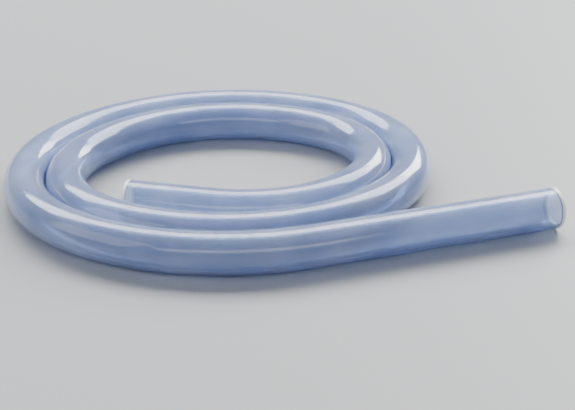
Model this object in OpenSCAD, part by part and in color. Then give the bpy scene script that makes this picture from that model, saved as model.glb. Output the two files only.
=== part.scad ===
// Silicone tubing coil: one soft tube wound flat on the bench in about two and a quarter turns.
// Its inner end lies straight inside the coil, and its outer end leaves as a straight tail.
// Units are millimetres, +Z is up. The origin is the bottom centre of the bounding box, so the
// coil rests on z = 0.

/* [Tube] */
// Outer diameter of the tube
tube_od = 10; // [8:0.5:12]
// Wall thickness of the tube
tube_wall = 1; // [0.6:0.1:2]

/* [Coil] */
// Bend radius on the tube's axis at the innermost tight end of the oval
end_r = 25.5; // [22:0.5:34]
// Bend radius on the tube's axis at the innermost flat side of the oval
side_r = 44; // [36:0.5:60]
// Clear gap left between one turn and the next
turn_gap = 0.2; // [0.1:0.1:2]
// Number of quarter bends in the coil, the first and last of them only partly used
bends = 9; // [6:1:13]
// Used part of the last bend, in degrees, each a direction with an exact sine and cosine
last_sweep = 48.7806; // [36.8699, 41.2194, 48.7806, 53.1301]

/* [Inner end] */
// How much tighter than the innermost flat side the bend is that joins the inner end to it
lead_in = 10; // [8:0.5:12]
// Used part of that bend, in degrees, each a direction with an exact sine and cosine
first_sweep = 73.7398; // [69.3903, 73.7398]
// Clear gap left between the inner end's edge and the turn round it
end_gap = 0.5; // [0.3:0.1:2]

/* [Tail] */
// Length of the straight tail
tail_l = 63; // [20:1:120]
// Direction of the tail, in degrees from +X
tail_dir = 21; // [10:1:40]

/* [Hidden] */
$fn = 96;

// The tube's radii, the height of its axis and the distance from turn to turn
outer_r = tube_od / 2;
inner_r = outer_r - tube_wall;
axis_z = outer_r;
pitch = tube_od + turn_gap;

// The oval is four quarter bends a turn. Its own frame has them meet on the X and Y axes,
// and is turned as a whole to bring the tail to its direction.
last = bends - 1;
frame_dir = tail_dir - last_sweep - 90 * bends;

// After the first bend, which only leads in, tight ends and flat sides alternate. Each bend is
// half a pitch wider than the last one of its kind, which keeps neighbouring turns parallel.
// Rounding to a micron keeps the joints between bends exact.
function micron(v) = round(v * 1000) / 1000;
function bend_r(i) = micron(i == 0 ? side_r - lead_in
    : i % 2 == 1 ? end_r + pitch * (i - 1) / 4
    : side_r + pitch * (i - 2) / 4);

// First and last angle of each bend about its own centre, in the oval's frame
function bend_from(i) = 90 * i + (i == 0 ? 90 - first_sweep : 0);
function bend_to(i) = 90 * i + (i == last ? last_sweep : 90);

// Unit vector at an angle, and the centre of each bend: bends meet on a shared spoke
function unit(a) = [cos(a), sin(a)];
function centre(i) = i == 0 ? [0, 0]
    : centre(i - 1) + (bend_r(i - 1) - bend_r(i)) * unit(90 * i);

// The same points in the part's frame, before they are centred
function turned(p) = [
    p[0] * cos(frame_dir) - p[1] * sin(frame_dir),
    p[0] * sin(frame_dir) + p[1] * cos(frame_dir)
];
function on_bend(i, a) = turned(centre(i) + bend_r(i) * unit(a));

// The inner end runs straight back until its outer edge comes within the end gap of the turn
// round it, which there is bend 3
to_edge = centre(0) + (bend_r(0) + outer_r) * unit(bend_from(0)) - centre(3);
along = to_edge * unit(bend_from(0) + 90);
room = bend_r(3) - outer_r - end_gap;
lead_l = along + sqrt(along * along - to_edge * to_edge + room * room);
lead_dir = frame_dir + bend_from(0) + 90;
lead_end = on_bend(0, bend_from(0)) - lead_l * unit(lead_dir);
tail_end = on_bend(last, bend_to(last)) + tail_l * unit(tail_dir);

// The two sides of a cut end, and the outermost points of a bend, which face along X or Y
function end_sides(p, dir) = [for (side = [-1, 1]) p + side * outer_r * unit(dir + 90)];
function far_points(i) = [
    for (q = [ceil((bend_from(i) + frame_dir) / 90) : floor((bend_to(i) + frame_dir) / 90)])
        turned(centre(i)) + (bend_r(i) + outer_r) * unit(90 * q)
];
edge_points = concat(
    [for (i = [0 : last]) each far_points(i)],
    end_sides(lead_end, lead_dir),
    end_sides(tail_end, tail_dir)
);
xs = [for (p = edge_points) p[0]];
ys = [for (p = edge_points) p[1]];
box_mid = [(min(xs) + max(xs)) / 2, (min(ys) + max(ys)) / 2];

module wall_section() {
    difference() {
        circle(r = outer_r);
        circle(r = inner_r);
    }
}

// Frame of a joint: its origin is the bend's centre, +X points out to the tube, +Y along it
module at_joint(i, a) {
    translate([centre(i)[0], centre(i)[1], axis_z])
        rotate([0, 0, a])
            children();
}

module quarter_bend(i) {
    at_joint(i, 90 * i)
        rotate_extrude(angle = 90)
            translate([bend_r(i), 0])
                wall_section();
}

// A quarter bend cut off at an angle, on the side before it (-1) or after it (1)
module cut_bend(i, a, side) {
    reach = bend_r(i) + tube_od;
    difference() {
        quarter_bend(i);
        at_joint(i, a)
            translate([0, side < 0 ? -reach : 0, -tube_od])
                cube([reach, reach, 2 * tube_od]);
    }
}

// A straight length of tube from a joint, backwards (-1) or forwards (1) along it
module straight(i, a, side, length) {
    at_joint(i, a)
        translate([bend_r(i), 0, 0])
            rotate([-side * 90, 0, 0])
                linear_extrude(height = length)
                    wall_section();
}

module tubing() {
    color([0.72, 0.80, 0.88, 0.6])
        translate([-box_mid[0], -box_mid[1], 0])
            rotate([0, 0, frame_dir])
                union() {
                    straight(0, bend_from(0), -1, lead_l);
                    cut_bend(0, bend_from(0), -1);
                    for (i = [1 : last - 1])
                        quarter_bend(i);
                    cut_bend(last, bend_to(last), 1);
                    straight(last, bend_to(last), 1, tail_l);
                }
}

tubing();
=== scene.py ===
"""A coil of translucent silicone tubing lying flat on a pale bench.

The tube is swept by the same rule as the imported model: a straight inner end, an oval of
quarter bends that widens evenly, and a straight tail. Lengths are in metres.
"""

import logging
import math
from dataclasses import dataclass, field, replace
from enum import Enum

import bmesh
import bpy
from bmesh.types import BMEdge, BMesh, BMFace, BMLayerItem, BMVert
from mathutils import Matrix, Quaternion, Vector

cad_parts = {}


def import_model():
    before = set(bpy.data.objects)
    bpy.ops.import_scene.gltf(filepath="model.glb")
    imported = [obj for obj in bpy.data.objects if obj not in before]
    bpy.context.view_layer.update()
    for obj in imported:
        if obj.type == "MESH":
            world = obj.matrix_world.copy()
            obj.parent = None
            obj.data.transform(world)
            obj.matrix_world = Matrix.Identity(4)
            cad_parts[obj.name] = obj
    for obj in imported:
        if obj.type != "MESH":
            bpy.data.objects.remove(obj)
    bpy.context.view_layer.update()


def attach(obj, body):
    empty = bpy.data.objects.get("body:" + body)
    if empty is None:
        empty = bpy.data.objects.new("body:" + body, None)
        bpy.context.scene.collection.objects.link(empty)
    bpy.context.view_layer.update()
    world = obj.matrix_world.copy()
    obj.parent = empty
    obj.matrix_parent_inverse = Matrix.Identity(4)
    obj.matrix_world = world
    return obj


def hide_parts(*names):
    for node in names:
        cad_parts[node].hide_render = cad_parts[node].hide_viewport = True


LOG = logging.getLogger("tubing_coil")
MM = 0.001
QUARTER = 90.0
NODE = "tubing"

# Attribute that holds each point's place on the tube laid out straight along Z.
STRAIGHT = "straight"

# Sockets of a Mix node set to colour, by number because other kinds share their names.
MIX_FACTOR, MIX_A, MIX_B, MIX_RESULT = 0, 6, 7, 2


class Part(Enum):
    """Material slots of the tube's mesh, in order."""

    WALL = 0
    CUT = 1


def unit(degrees: float) -> Vector:
    """Unit vector in the bench plane at an angle from +X."""
    angle = math.radians(degrees)
    return Vector((math.cos(angle), math.sin(angle), 0.0))


@dataclass(frozen=True)
class Station:
    """A point on the tube's axis, the direction there and the length of tube behind it."""

    point: Vector
    heading: Vector
    along: float


@dataclass(frozen=True)
class Run:
    """One stretch of the route: a bend about an upright axis, or a straight where sweep is 0."""

    start: Vector
    heading: Vector
    length: float
    centre: Vector
    sweep: float
    steps: int

    def at(self, share: float) -> tuple[Vector, Vector]:
        """Point and heading on this run.

        Args:
            share: How far along the run, from 0 to 1.

        Returns:
            The point on the axis and the unit heading there.
        """
        if self.sweep == 0.0:
            return self.start + self.heading * (self.length * share), self.heading.copy()
        turn = Matrix.Rotation(math.radians(self.sweep * share), 3, "Z")
        return self.centre + turn @ (self.start - self.centre), turn @ self.heading

    def turned(self, turn: Matrix) -> "Run":
        """This run turned about the origin."""
        return replace(self, start=turn @ self.start, heading=turn @ self.heading, centre=turn @ self.centre)

    def shifted(self, shift: Vector) -> "Run":
        """This run moved without a turn."""
        return replace(self, start=self.start + shift, centre=self.centre + shift)


@dataclass
class Route:
    """The tube's way over the bench, from its inner end to the tail's end."""

    tube_od: float = 10.0 * MM
    end_r: float = 25.5 * MM
    side_r: float = 44.0 * MM
    turn_gap: float = 0.2 * MM
    bends: int = 9
    last_sweep: float = 48.7806
    lead_in: float = 10.0 * MM
    first_sweep: float = 73.7398
    end_gap: float = 0.5 * MM
    tail_l: float = 63.0 * MM
    tail_dir: float = 21.0
    step_degrees: float = 3.0
    least_steps: int = 2
    lead_steps: int = 4
    tail_steps: int = 8
    outline_fineness: int = 8
    outer_r: float = field(init=False)
    pitch: float = field(init=False)
    first_spoke: float = field(init=False)
    runs: list[Run] = field(init=False)

    def __post_init__(self) -> None:
        """Work out the derived sizes, lay the runs out, then turn and centre them."""
        self.outer_r = self.tube_od / 2
        self.pitch = self.tube_od + self.turn_gap
        self.first_spoke = QUARTER - self.first_sweep
        frame_dir = self.tail_dir - self.last_sweep - QUARTER * self.bends
        turn = Matrix.Rotation(math.radians(frame_dir), 3, "Z")
        runs = [run.turned(turn) for run in self._oval()]
        low, high = self._outline(runs)
        shift = Vector((-(low.x + high.x) / 2, -(low.y + high.y) / 2, self.outer_r))
        self.runs = [run.shifted(shift) for run in runs]

    def bend_r(self, i: int) -> float:
        """Radius of a bend on the tube's axis: tight ends and flatter sides take turns.

        Args:
            i: The bend's number, counted from 0 at the inner end.

        Returns:
            The radius, which widens by the pitch in each full turn.
        """
        if i == 0:
            return self.side_r - self.lead_in
        if i % 2 == 1:
            return self.end_r + self.pitch * (i - 1) / 4
        return self.side_r + self.pitch * (i - 2) / 4

    def centre(self, i: int) -> Vector:
        """Centre of a bend in the oval's frame; neighbouring bends meet on a shared spoke.

        Args:
            i: The bend's number.

        Returns:
            The centre, with that of bend 0 at the origin.
        """
        spot = Vector()
        for k in range(1, i + 1):
            spot += (self.bend_r(k - 1) - self.bend_r(k)) * unit(QUARTER * k)
        return spot

    def lead_length(self) -> float:
        """Length of the straight inner end, which stops short of the turn round it.

        Returns:
            The length at which the outer edge of the cut is end_gap from bend 3's inside.
        """
        to_edge = (self.bend_r(0) + self.outer_r) * unit(self.first_spoke) - self.centre(3)
        along = to_edge.dot(unit(self.first_spoke + QUARTER))
        room = self.bend_r(3) - self.outer_r - self.end_gap
        return along + math.sqrt(along**2 - to_edge.length_squared + room**2)

    def _oval(self) -> list[Run]:
        """Lay the runs out in the oval's own frame.

        Returns:
            The inner end, the bends and the tail, in that order.
        """
        heading = unit(self.first_spoke + QUARTER)
        joint = self.bend_r(0) * unit(self.first_spoke)
        lead = self.lead_length()
        runs = [Run(joint - heading * lead, heading, lead, Vector(), 0.0, self.lead_steps)]
        for i in range(self.bends):
            start = self.first_spoke if i == 0 else QUARTER * i
            end = QUARTER * i + (self.last_sweep if i == self.bends - 1 else QUARTER)
            point = self.centre(i) + self.bend_r(i) * unit(start)
            length = self.bend_r(i) * math.radians(end - start)
            steps = max(self.least_steps, round((end - start) / self.step_degrees))
            runs.append(Run(point, unit(start + QUARTER), length, self.centre(i), end - start, steps))
        tail_from, tail_heading = runs[-1].at(1.0)
        runs.append(Run(tail_from, tail_heading, self.tail_l, Vector(), 0.0, self.tail_steps))
        return runs

    def _outline(self, runs: list[Run]) -> tuple[Vector, Vector]:
        """Find the corners of the tube's outline in the bench plane.

        Args:
            runs: The stretches of the route.

        Returns:
            The lowest and the highest corner, both at height 0.
        """
        edge: list[Vector] = []
        for run in runs:
            fine = run.steps * self.outline_fineness
            for k in range(fine + 1):
                point, heading = run.at(k / fine)
                across = Vector((-heading.y, heading.x, 0.0)) * self.outer_r
                edge += [point - across, point + across]
        xs = [point.x for point in edge]
        ys = [point.y for point in edge]
        return Vector((min(xs), min(ys), 0.0)), Vector((max(xs), max(ys), 0.0))

    def stations(self) -> list[Station]:
        """Points along the tube's axis, one for each ring of the mesh.

        Returns:
            The stations, with one only where two runs meet.
        """
        made: list[Station] = []
        behind = 0.0
        for run in self.runs:
            for k in range(1 if made else 0, run.steps + 1):
                point, heading = run.at(k / run.steps)
                made.append(Station(point, heading, behind + run.length * k / run.steps))
            behind += run.length
        return made

    def length(self) -> float:
        """Length of the tube's axis."""
        return sum(run.length for run in self.runs)


@dataclass
class Viewpoint:
    """The camera: an aim point in the coil, a distance, and a slight roll."""

    aim: Vector = field(default_factory=lambda: Vector((2.18 * MM, -19.22 * MM, 5.0 * MM)))
    distance: float = 343.15 * MM
    elevation: float = 24.865
    roll: float = 0.689
    lens: float = 89.78
    sensor: float = 36.0
    nearest: float = 0.01
    furthest: float = 20.0

    def build(self) -> bpy.types.Object:
        """Make the camera and give it to the scene.

        Returns:
            The camera object.
        """
        data = bpy.data.cameras.new("camera")
        data.lens = self.lens
        data.sensor_width = self.sensor
        data.clip_start = self.nearest
        data.clip_end = self.furthest
        camera = bpy.data.objects.new("camera", data)
        bpy.context.scene.collection.objects.link(camera)
        rise = math.radians(self.elevation)
        forward = Vector((0.0, math.cos(rise), -math.sin(rise)))
        camera.location = self.aim - forward * self.distance
        camera.rotation_mode = "QUATERNION"
        facing = forward.to_track_quat("-Z", "Y")
        camera.rotation_quaternion = facing @ Quaternion((0.0, 0.0, 1.0), math.radians(self.roll))
        bpy.context.scene.camera = camera
        return camera


class Nodes:
    """A small helper that adds and links nodes in one material's tree."""

    def __init__(self, material: bpy.types.Material) -> None:
        """Take a material and clear its tree.

        Args:
            material: The material to dress.
        """
        material.use_nodes = True
        self.tree = material.node_tree
        self.tree.nodes.clear()

    def add(self, kind: str, **values: object) -> bpy.types.Node:
        """Add a node.

        Args:
            kind: The node's type name.
            **values: Properties of the node, or inputs by name with _ for a space.

        Returns:
            The new node.
        """
        node = self.tree.nodes.new(kind)
        for key, value in values.items():
            socket = node.inputs.get(key.replace("_", " "))
            if socket is not None:
                socket.default_value = value
            else:
                setattr(node, key, value)
        return node

    def link(self, source: bpy.types.NodeSocket, target: bpy.types.NodeSocket) -> None:
        """Link two sockets."""
        self.tree.links.new(source, target)

    def bump(
        self, height: bpy.types.NodeSocket, shader: bpy.types.Node, strength: float, depth: float
    ) -> None:
        """Raise a pattern on a shader's surface.

        Args:
            height: The pattern, from 0 to 1.
            shader: The shader node that takes the relief.
            strength: Share of the relief that shows.
            depth: Height of the relief where the pattern is 1.
        """
        relief = self.add("ShaderNodeBump", Strength=strength, Distance=depth)
        self.link(height, relief.inputs["Height"])
        self.link(relief.outputs["Normal"], shader.inputs["Normal"])


@dataclass(frozen=True)
class SiliconeWall:
    """The tube's outside and bore: clear, faintly blue and milky.

    Clouds are slow changes of colour, haze is uneven gloss, and streaks are the fine lines that
    drawing the tube leaves along its length.
    """

    tint: tuple[float, float, float, float] = (0.53, 0.64, 0.89, 1.0)
    pale: tuple[float, float, float, float] = (0.68, 0.77, 0.97, 1.0)
    depth: tuple[float, float, float, float] = (0.50, 0.61, 0.86, 1.0)
    density: float = 230.0
    clearness: float = 0.78
    index: float = 1.41
    cloud_scale: float = 90.0
    cloud_range: tuple[float, float] = (0.35, 0.65)
    roughness: float = 0.08
    roughness_spread: float = 0.07
    haze_scale: float = 260.0
    haze_range: tuple[float, float] = (0.3, 0.7)
    streak_scale: float = 900.0
    streak_stretch: tuple[float, float, float] = (1.0, 1.0, 0.035)
    streak_strength: float = 0.12
    streak_height: float = 0.04 * MM

    def build(self) -> bpy.types.Material:
        """Make the material.

        Returns:
            The material of the tube's outside and bore.
        """
        material = bpy.data.materials.new("silicone_wall")
        nodes = Nodes(material)
        place = nodes.add("ShaderNodeAttribute", attribute_name=STRAIGHT).outputs["Vector"]
        shader = nodes.add("ShaderNodeBsdfPrincipled", IOR=self.index, Transmission_Weight=self.clearness)
        self._cloud(nodes, place, shader)
        self._haze(nodes, place, shader)
        self._streak(nodes, place, shader)
        inside = nodes.add("ShaderNodeVolumeAbsorption", Density=self.density, Color=self.depth)
        output = nodes.add("ShaderNodeOutputMaterial")
        nodes.link(shader.outputs["BSDF"], output.inputs["Surface"])
        nodes.link(inside.outputs["Volume"], output.inputs["Volume"])
        return material

    def _cloud(self, nodes: Nodes, place: bpy.types.NodeSocket, shader: bpy.types.Node) -> None:
        """Let the colour wander slowly between the tint and the paler tint.

        Args:
            nodes: The material's nodes.
            place: Socket of the place on the tube laid out straight.
            shader: The wall's shader.
        """
        cloud = nodes.add("ShaderNodeTexNoise", Scale=self.cloud_scale, Detail=3.0, Roughness=0.5)
        nodes.link(place, cloud.inputs["Vector"])
        low, high = self.cloud_range
        share = nodes.add("ShaderNodeMapRange", From_Min=low, From_Max=high)
        nodes.link(cloud.outputs["Fac"], share.inputs["Value"])
        blend = nodes.add("ShaderNodeMix", data_type="RGBA")
        blend.inputs[MIX_A].default_value = self.tint
        blend.inputs[MIX_B].default_value = self.pale
        nodes.link(share.outputs["Result"], blend.inputs[MIX_FACTOR])
        nodes.link(blend.outputs[MIX_RESULT], shader.inputs["Base Color"])

    def _haze(self, nodes: Nodes, place: bpy.types.NodeSocket, shader: bpy.types.Node) -> None:
        """Make the gloss a little uneven.

        Args:
            nodes: The material's nodes.
            place: Socket of the place on the tube laid out straight.
            shader: The wall's shader.
        """
        haze = nodes.add("ShaderNodeTexNoise", Scale=self.haze_scale, Detail=4.0, Roughness=0.6)
        nodes.link(place, haze.inputs["Vector"])
        low, high = self.haze_range
        rough = nodes.add(
            "ShaderNodeMapRange",
            From_Min=low,
            From_Max=high,
            To_Min=self.roughness,
            To_Max=self.roughness + self.roughness_spread,
        )
        nodes.link(haze.outputs["Fac"], rough.inputs["Value"])
        nodes.link(rough.outputs["Result"], shader.inputs["Roughness"])

    def _streak(self, nodes: Nodes, place: bpy.types.NodeSocket, shader: bpy.types.Node) -> None:
        """Raise the fine lines that run along the tube.

        Args:
            nodes: The material's nodes.
            place: Socket of the place on the tube laid out straight.
            shader: The wall's shader.
        """
        drawn = nodes.add("ShaderNodeMapping", Scale=self.streak_stretch)
        nodes.link(place, drawn.inputs["Vector"])
        streak = nodes.add("ShaderNodeTexNoise", Scale=self.streak_scale, Detail=2.0, Roughness=0.45)
        nodes.link(drawn.outputs["Vector"], streak.inputs["Vector"])
        nodes.bump(streak.outputs["Fac"], shader, self.streak_strength, self.streak_height)


@dataclass(frozen=True)
class SiliconeCutPaintedRim:
    """The blade's cut and the rim beside it: duller than the wall, with blade marks, and near white as a
    painted bright rim where the cut end catches light.
    """

    # Near white, paler than a clear silicone cut: a painted bright rim where the cut end catches light.
    colour: tuple[float, float, float, float] = (0.97, 0.98, 1.0, 1.0)
    index: float = 1.41
    roughness: float = 0.4
    glow: float = 0.25
    mark_scale: float = 1400.0
    mark_strength: float = 0.3
    mark_height: float = 0.05 * MM

    def build(self) -> bpy.types.Material:
        """Make the material.

        Returns:
            The material of the cut faces and of the painted bright rims beside them.
        """
        material = bpy.data.materials.new("silicone_cut_painted_rim")
        nodes = Nodes(material)
        shader = nodes.add(
            "ShaderNodeBsdfPrincipled", IOR=self.index, Base_Color=self.colour, Roughness=self.roughness
        )
        through = nodes.add("ShaderNodeBsdfTranslucent", Color=self.colour)
        place = nodes.add("ShaderNodeTexCoord").outputs["Object"]
        marks = nodes.add("ShaderNodeTexNoise", Scale=self.mark_scale, Detail=2.0)
        nodes.link(place, marks.inputs["Vector"])
        nodes.bump(marks.outputs["Fac"], shader, self.mark_strength, self.mark_height)
        mix = nodes.add("ShaderNodeMixShader", Fac=self.glow)
        nodes.link(shader.outputs["BSDF"], mix.inputs[1])
        nodes.link(through.outputs["BSDF"], mix.inputs[2])
        output = nodes.add("ShaderNodeOutputMaterial")
        nodes.link(mix.outputs["Shader"], output.inputs["Surface"])
        return material


@dataclass
class TubingCoil:
    """The silicone tube: a hollow section swept along the route, cut square at both ends.

    The skin is one strip: out along the outside, across the cut, back along the bore, and
    across the other cut to where it began, where it is welded.
    """

    route: Route
    wall: float = 1.0 * MM
    around: int = 64
    lip: float = 0.12 * MM
    lip_segments: int = 2
    lip_angle: float = 60.0
    sharp_angle: float = 40.0
    # Width of the band beside each cut, on the outside and in the bore, that takes the near-white cut
    # finish: a painted bright rim.
    rim: float = 0.8 * MM
    rim_slack: float = 1.01
    weld: float = 0.01 * MM
    wall_finish: SiliconeWall = field(default_factory=SiliconeWall)
    cut_painted_rim_finish: SiliconeCutPaintedRim = field(default_factory=SiliconeCutPaintedRim)

    def build(self) -> bpy.types.Object:
        """Returns:
            The tube's object.
        """
        stations = self._with_rims(self.route.stations())
        to_bore = self.bore_r() / self.route.outer_r
        to_outside = self.route.outer_r / self.bore_r()
        bm = bmesh.new()
        place = bm.verts.layers.float_vector.new(STRAIGHT)
        ring = self._section(bm, place, stations[0])
        ring = self._sweep(bm, place, ring, stations)
        ring = self._cross_cut(bm, place, ring, stations[-1], to_bore)
        ring = self._sweep(bm, place, ring, stations[::-1])
        self._cross_cut(bm, place, ring, stations[0], to_outside)
        bmesh.ops.remove_doubles(bm, verts=bm.verts[:], dist=self.weld)
        self._ease_lips(bm)
        bmesh.ops.recalc_face_normals(bm, faces=bm.faces[:])
        self._put_in_order(bm, place)
        for face in bm.faces:
            face.smooth = True
        mesh = bpy.data.meshes.new("silicone_tube")
        bm.to_mesh(mesh)
        bm.free()
        mesh.set_sharp_from_angle(angle=math.radians(self.sharp_angle))
        tube = bpy.data.objects.new("silicone_tube", mesh)
        bpy.context.scene.collection.objects.link(tube)
        mesh.materials.append(self.wall_finish.build())
        mesh.materials.append(self.cut_painted_rim_finish.build())
        self._declare(tube)
        return tube

    def bore_r(self) -> float:
        """Radius of the bore."""
        return self.route.outer_r - self.wall

    def _with_rims(self, stations: list[Station]) -> list[Station]:
        """Add a station just inside each cut end, where the frosted, painted-bright rim band stops.

        Args:
            stations: The route's stations.

        Returns:
            The stations with the two more.
        """
        first, last = stations[0], stations[-1]
        inner = Station(first.point + first.heading * self.rim, first.heading, first.along + self.rim)
        outer = Station(last.point - last.heading * self.rim, last.heading, last.along - self.rim)
        return [first, inner, *stations[1:-1], outer, last]

    def _section(self, bm: BMesh, place: BMLayerItem, at: Station) -> list[BMEdge]:
        """Make the open circle of the tube's outside at its inner end.

        Args:
            bm: The mesh being made, still empty.
            place: Layer that holds each point's place on the tube laid out straight.
            at: The first station.

        Returns:
            The circle's edges.
        """
        made = bmesh.ops.create_circle(bm, cap_ends=False, segments=self.around, radius=self.route.outer_r)
        for vert in made["verts"]:
            vert[place] = (vert.co.x, vert.co.y, 0.0)
        spin = at.heading.to_track_quat("Z", "Y").to_matrix().to_4x4()
        bmesh.ops.transform(bm, matrix=Matrix.Translation(at.point) @ spin, verts=made["verts"])
        return bm.edges[:]

    def _extrude(self, bm: BMesh, ring: list[BMEdge], finish: Part) -> tuple[list[BMVert], list[BMEdge]]:
        """Extrude a ring of edges in place.

        Args:
            bm: The mesh being made.
            ring: Edges of the ring.
            finish: Material slot of the new faces.

        Returns:
            The new ring's points and edges.
        """
        made = bmesh.ops.extrude_edge_only(bm, edges=ring)["geom"]
        verts = [item for item in made if isinstance(item, BMVert)]
        for face in (item for item in made if isinstance(item, BMFace)):
            face.material_index = finish.value
        fresh = set(verts)
        edges = [item for item in made if isinstance(item, BMEdge) and set(item.verts) <= fresh]
        return verts, edges

    def _sweep(
        self, bm: BMesh, place: BMLayerItem, ring: list[BMEdge], stations: list[Station]
    ) -> list[BMEdge]:
        """Extrude a ring along the route, station by station.

        Args:
            bm: The mesh being made.
            place: Layer that holds each point's place on the tube laid out straight.
            ring: Edges of the ring at the first station.
            stations: Every station in the order to visit, the first one included.

        Returns:
            The edges of the ring at the last station.
        """
        for before, after in zip(stations, stations[1:]):
            # Stations a rim's width apart bound the band that takes the cut's near-white finish, a painted
            # bright rim.
            is_painted_rim = abs(after.along - before.along) < self.rim_slack * self.rim
            verts, ring = self._extrude(bm, ring, Part.CUT if is_painted_rim else Part.WALL)
            turn = before.heading.rotation_difference(after.heading).to_matrix().to_4x4()
            move = Matrix.Translation(after.point) @ turn @ Matrix.Translation(-before.point)
            bmesh.ops.transform(bm, matrix=move, verts=verts)
            for vert in verts:
                x, y, _ = vert[place]
                vert[place] = (x, y, after.along)
        return ring

    def _cross_cut(
        self, bm: BMesh, place: BMLayerItem, ring: list[BMEdge], at: Station, scale: float
    ) -> list[BMEdge]:
        """Make the cut face at one end, from the outside to the bore or back.

        Args:
            bm: The mesh being made.
            place: Layer that holds each point's place on the tube laid out straight.
            ring: Edges of the ring at this end.
            at: The station of this end.
            scale: Radius of the new ring over that of the old one.

        Returns:
            The edges of the new ring.
        """
        verts, ring = self._extrude(bm, ring, Part.CUT)
        centred = Matrix.Translation(-at.point)
        bmesh.ops.scale(bm, vec=(scale, scale, scale), space=centred, verts=verts)
        for vert in verts:
            x, y, along = vert[place]
            vert[place] = (x * scale, y * scale, along)
        return ring

    def _ease_lips(self, bm: BMesh) -> None:
        """Round the four edges where the cut faces meet the outside and the bore.

        Args:
            bm: The welded skin.
        """
        sharp = math.radians(self.lip_angle)
        lips = [edge for edge in bm.edges if len(edge.link_faces) == 2 and edge.calc_face_angle() > sharp]
        bmesh.ops.bevel(
            bm,
            geom=lips,
            offset=self.lip,
            offset_type="OFFSET",
            affect="EDGES",
            segments=self.lip_segments,
            profile=0.5,
            material=-1,
        )

    def _put_in_order(self, bm: BMesh, place: BMLayerItem) -> None:
        """Number the points, edges and faces by their place on the tube, the same in every run.

        Args:
            bm: The finished skin.
            place: Layer that holds each point's place on the tube laid out straight.
        """
        points = sorted(bm.verts, key=lambda vert: tuple(vert[place])[::-1])
        number = {vert: rank for rank, vert in enumerate(points)}
        bm.verts.sort(key=number.get)
        for parts in (bm.edges, bm.faces):
            row = sorted(parts, key=lambda part: sorted(number[vert] for vert in part.verts))
            order = {part: rank for rank, part in enumerate(row)}
            parts.sort(key=order.get)

    def _declare(self, tube: bpy.types.Object) -> None:
        """Work out the route's length, which is not kept; hide the imported tube that this one stands for;
        attach this one to the root body.

        Args:
            tube: The tube's object.
        """
        self.route.length()
        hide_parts(NODE)
        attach(tube, "root")


@dataclass(frozen=True)
class Softbox:
    """A rectangular studio light of plain white."""

    name: str
    place: tuple[float, float, float]
    target: tuple[float, float, float]
    width: float
    depth: float
    power: float

    def build(self) -> bpy.types.Object:
        """Make the light, turned to its target and unseen by the camera.

        Returns:
            The light's object.
        """
        data = bpy.data.lights.new(self.name, "AREA")
        data.shape = "RECTANGLE"
        data.size = self.width
        data.size_y = self.depth
        data.energy = self.power
        light = bpy.data.objects.new(self.name, data)
        bpy.context.scene.collection.objects.link(light)
        light.location = self.place
        light.visible_camera = False
        aim = Vector(self.target) - Vector(self.place)
        light.rotation_mode = "QUATERNION"
        light.rotation_quaternion = aim.to_track_quat("-Z", "Y")
        return light


@dataclass
class Studio:
    """A plain pale floor, a soft overall light and a few softboxes."""

    floor_size: float = 6.0
    floor_colour: tuple[float, float, float, float] = (0.29, 0.295, 0.305, 1.0)
    floor_roughness: float = 0.55
    world_colour: tuple[float, float, float, float] = (0.80, 0.84, 0.90, 1.0)
    world_strength: float = 0.18
    softboxes: tuple[Softbox, ...] = (
        Softbox("key_above", (0.0, 0.50, 0.62), (0.0, 0.0, 0.0), 1.4, 0.36, 24.0),
        Softbox("fill_left", (-0.75, -0.35, 0.55), (0.0, 0.0, 0.0), 0.80, 0.60, 4.0),
        Softbox("fill_front", (0.1, -0.75, 0.55), (0.0, 0.0, 0.0), 1.2, 0.25, 3.5),
        Softbox("rim_back", (0.50, 0.85, 0.48), (0.04, -0.01, 0.0), 0.40, 0.30, 10.0),
    )

    def build(self) -> list[bpy.types.Object]:
        """Make the floor, the world's light and the softboxes.

        Returns:
            The softboxes' objects.
        """
        self._floor()
        self._world()
        return [softbox.build() for softbox in self.softboxes]

    def _floor(self) -> None:
        """Make the bench top."""
        bm = bmesh.new()
        bmesh.ops.create_grid(bm, x_segments=1, y_segments=1, size=self.floor_size / 2)
        mesh = bpy.data.meshes.new("floor")
        bm.to_mesh(mesh)
        bm.free()
        floor = bpy.data.objects.new("floor", mesh)
        bpy.context.scene.collection.objects.link(floor)
        material = bpy.data.materials.new("floor")
        nodes = Nodes(material)
        shader = nodes.add(
            "ShaderNodeBsdfPrincipled", Base_Color=self.floor_colour, Roughness=self.floor_roughness
        )
        output = nodes.add("ShaderNodeOutputMaterial")
        nodes.link(shader.outputs["BSDF"], output.inputs["Surface"])
        mesh.materials.append(material)

    def _world(self) -> None:
        """Give the scene an even, slightly cool light from all round."""
        world = bpy.data.worlds.new("studio")
        world.use_nodes = True
        back = world.node_tree.nodes["Background"]
        back.inputs["Color"].default_value = self.world_colour
        back.inputs["Strength"].default_value = self.world_strength
        bpy.context.scene.world = world


def main() -> None:
    """Build the scene in order: camera, tube, studio."""
    logging.basicConfig(level=logging.INFO, format="%(message)s")
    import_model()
    camera = Viewpoint().build()
    LOG.info("%s: %.1f mm lens", camera.name, camera.data.lens)
    route = Route()
    tube = TubingCoil(route).build()
    LOG.info("%s: %.1f mm long, %d faces", tube.name, route.length() / MM, len(tube.data.polygons))
    lights = Studio().build()
    LOG.info("studio: %s", ", ".join(light.name for light in lights))


if __name__ == "__main__":
    main()
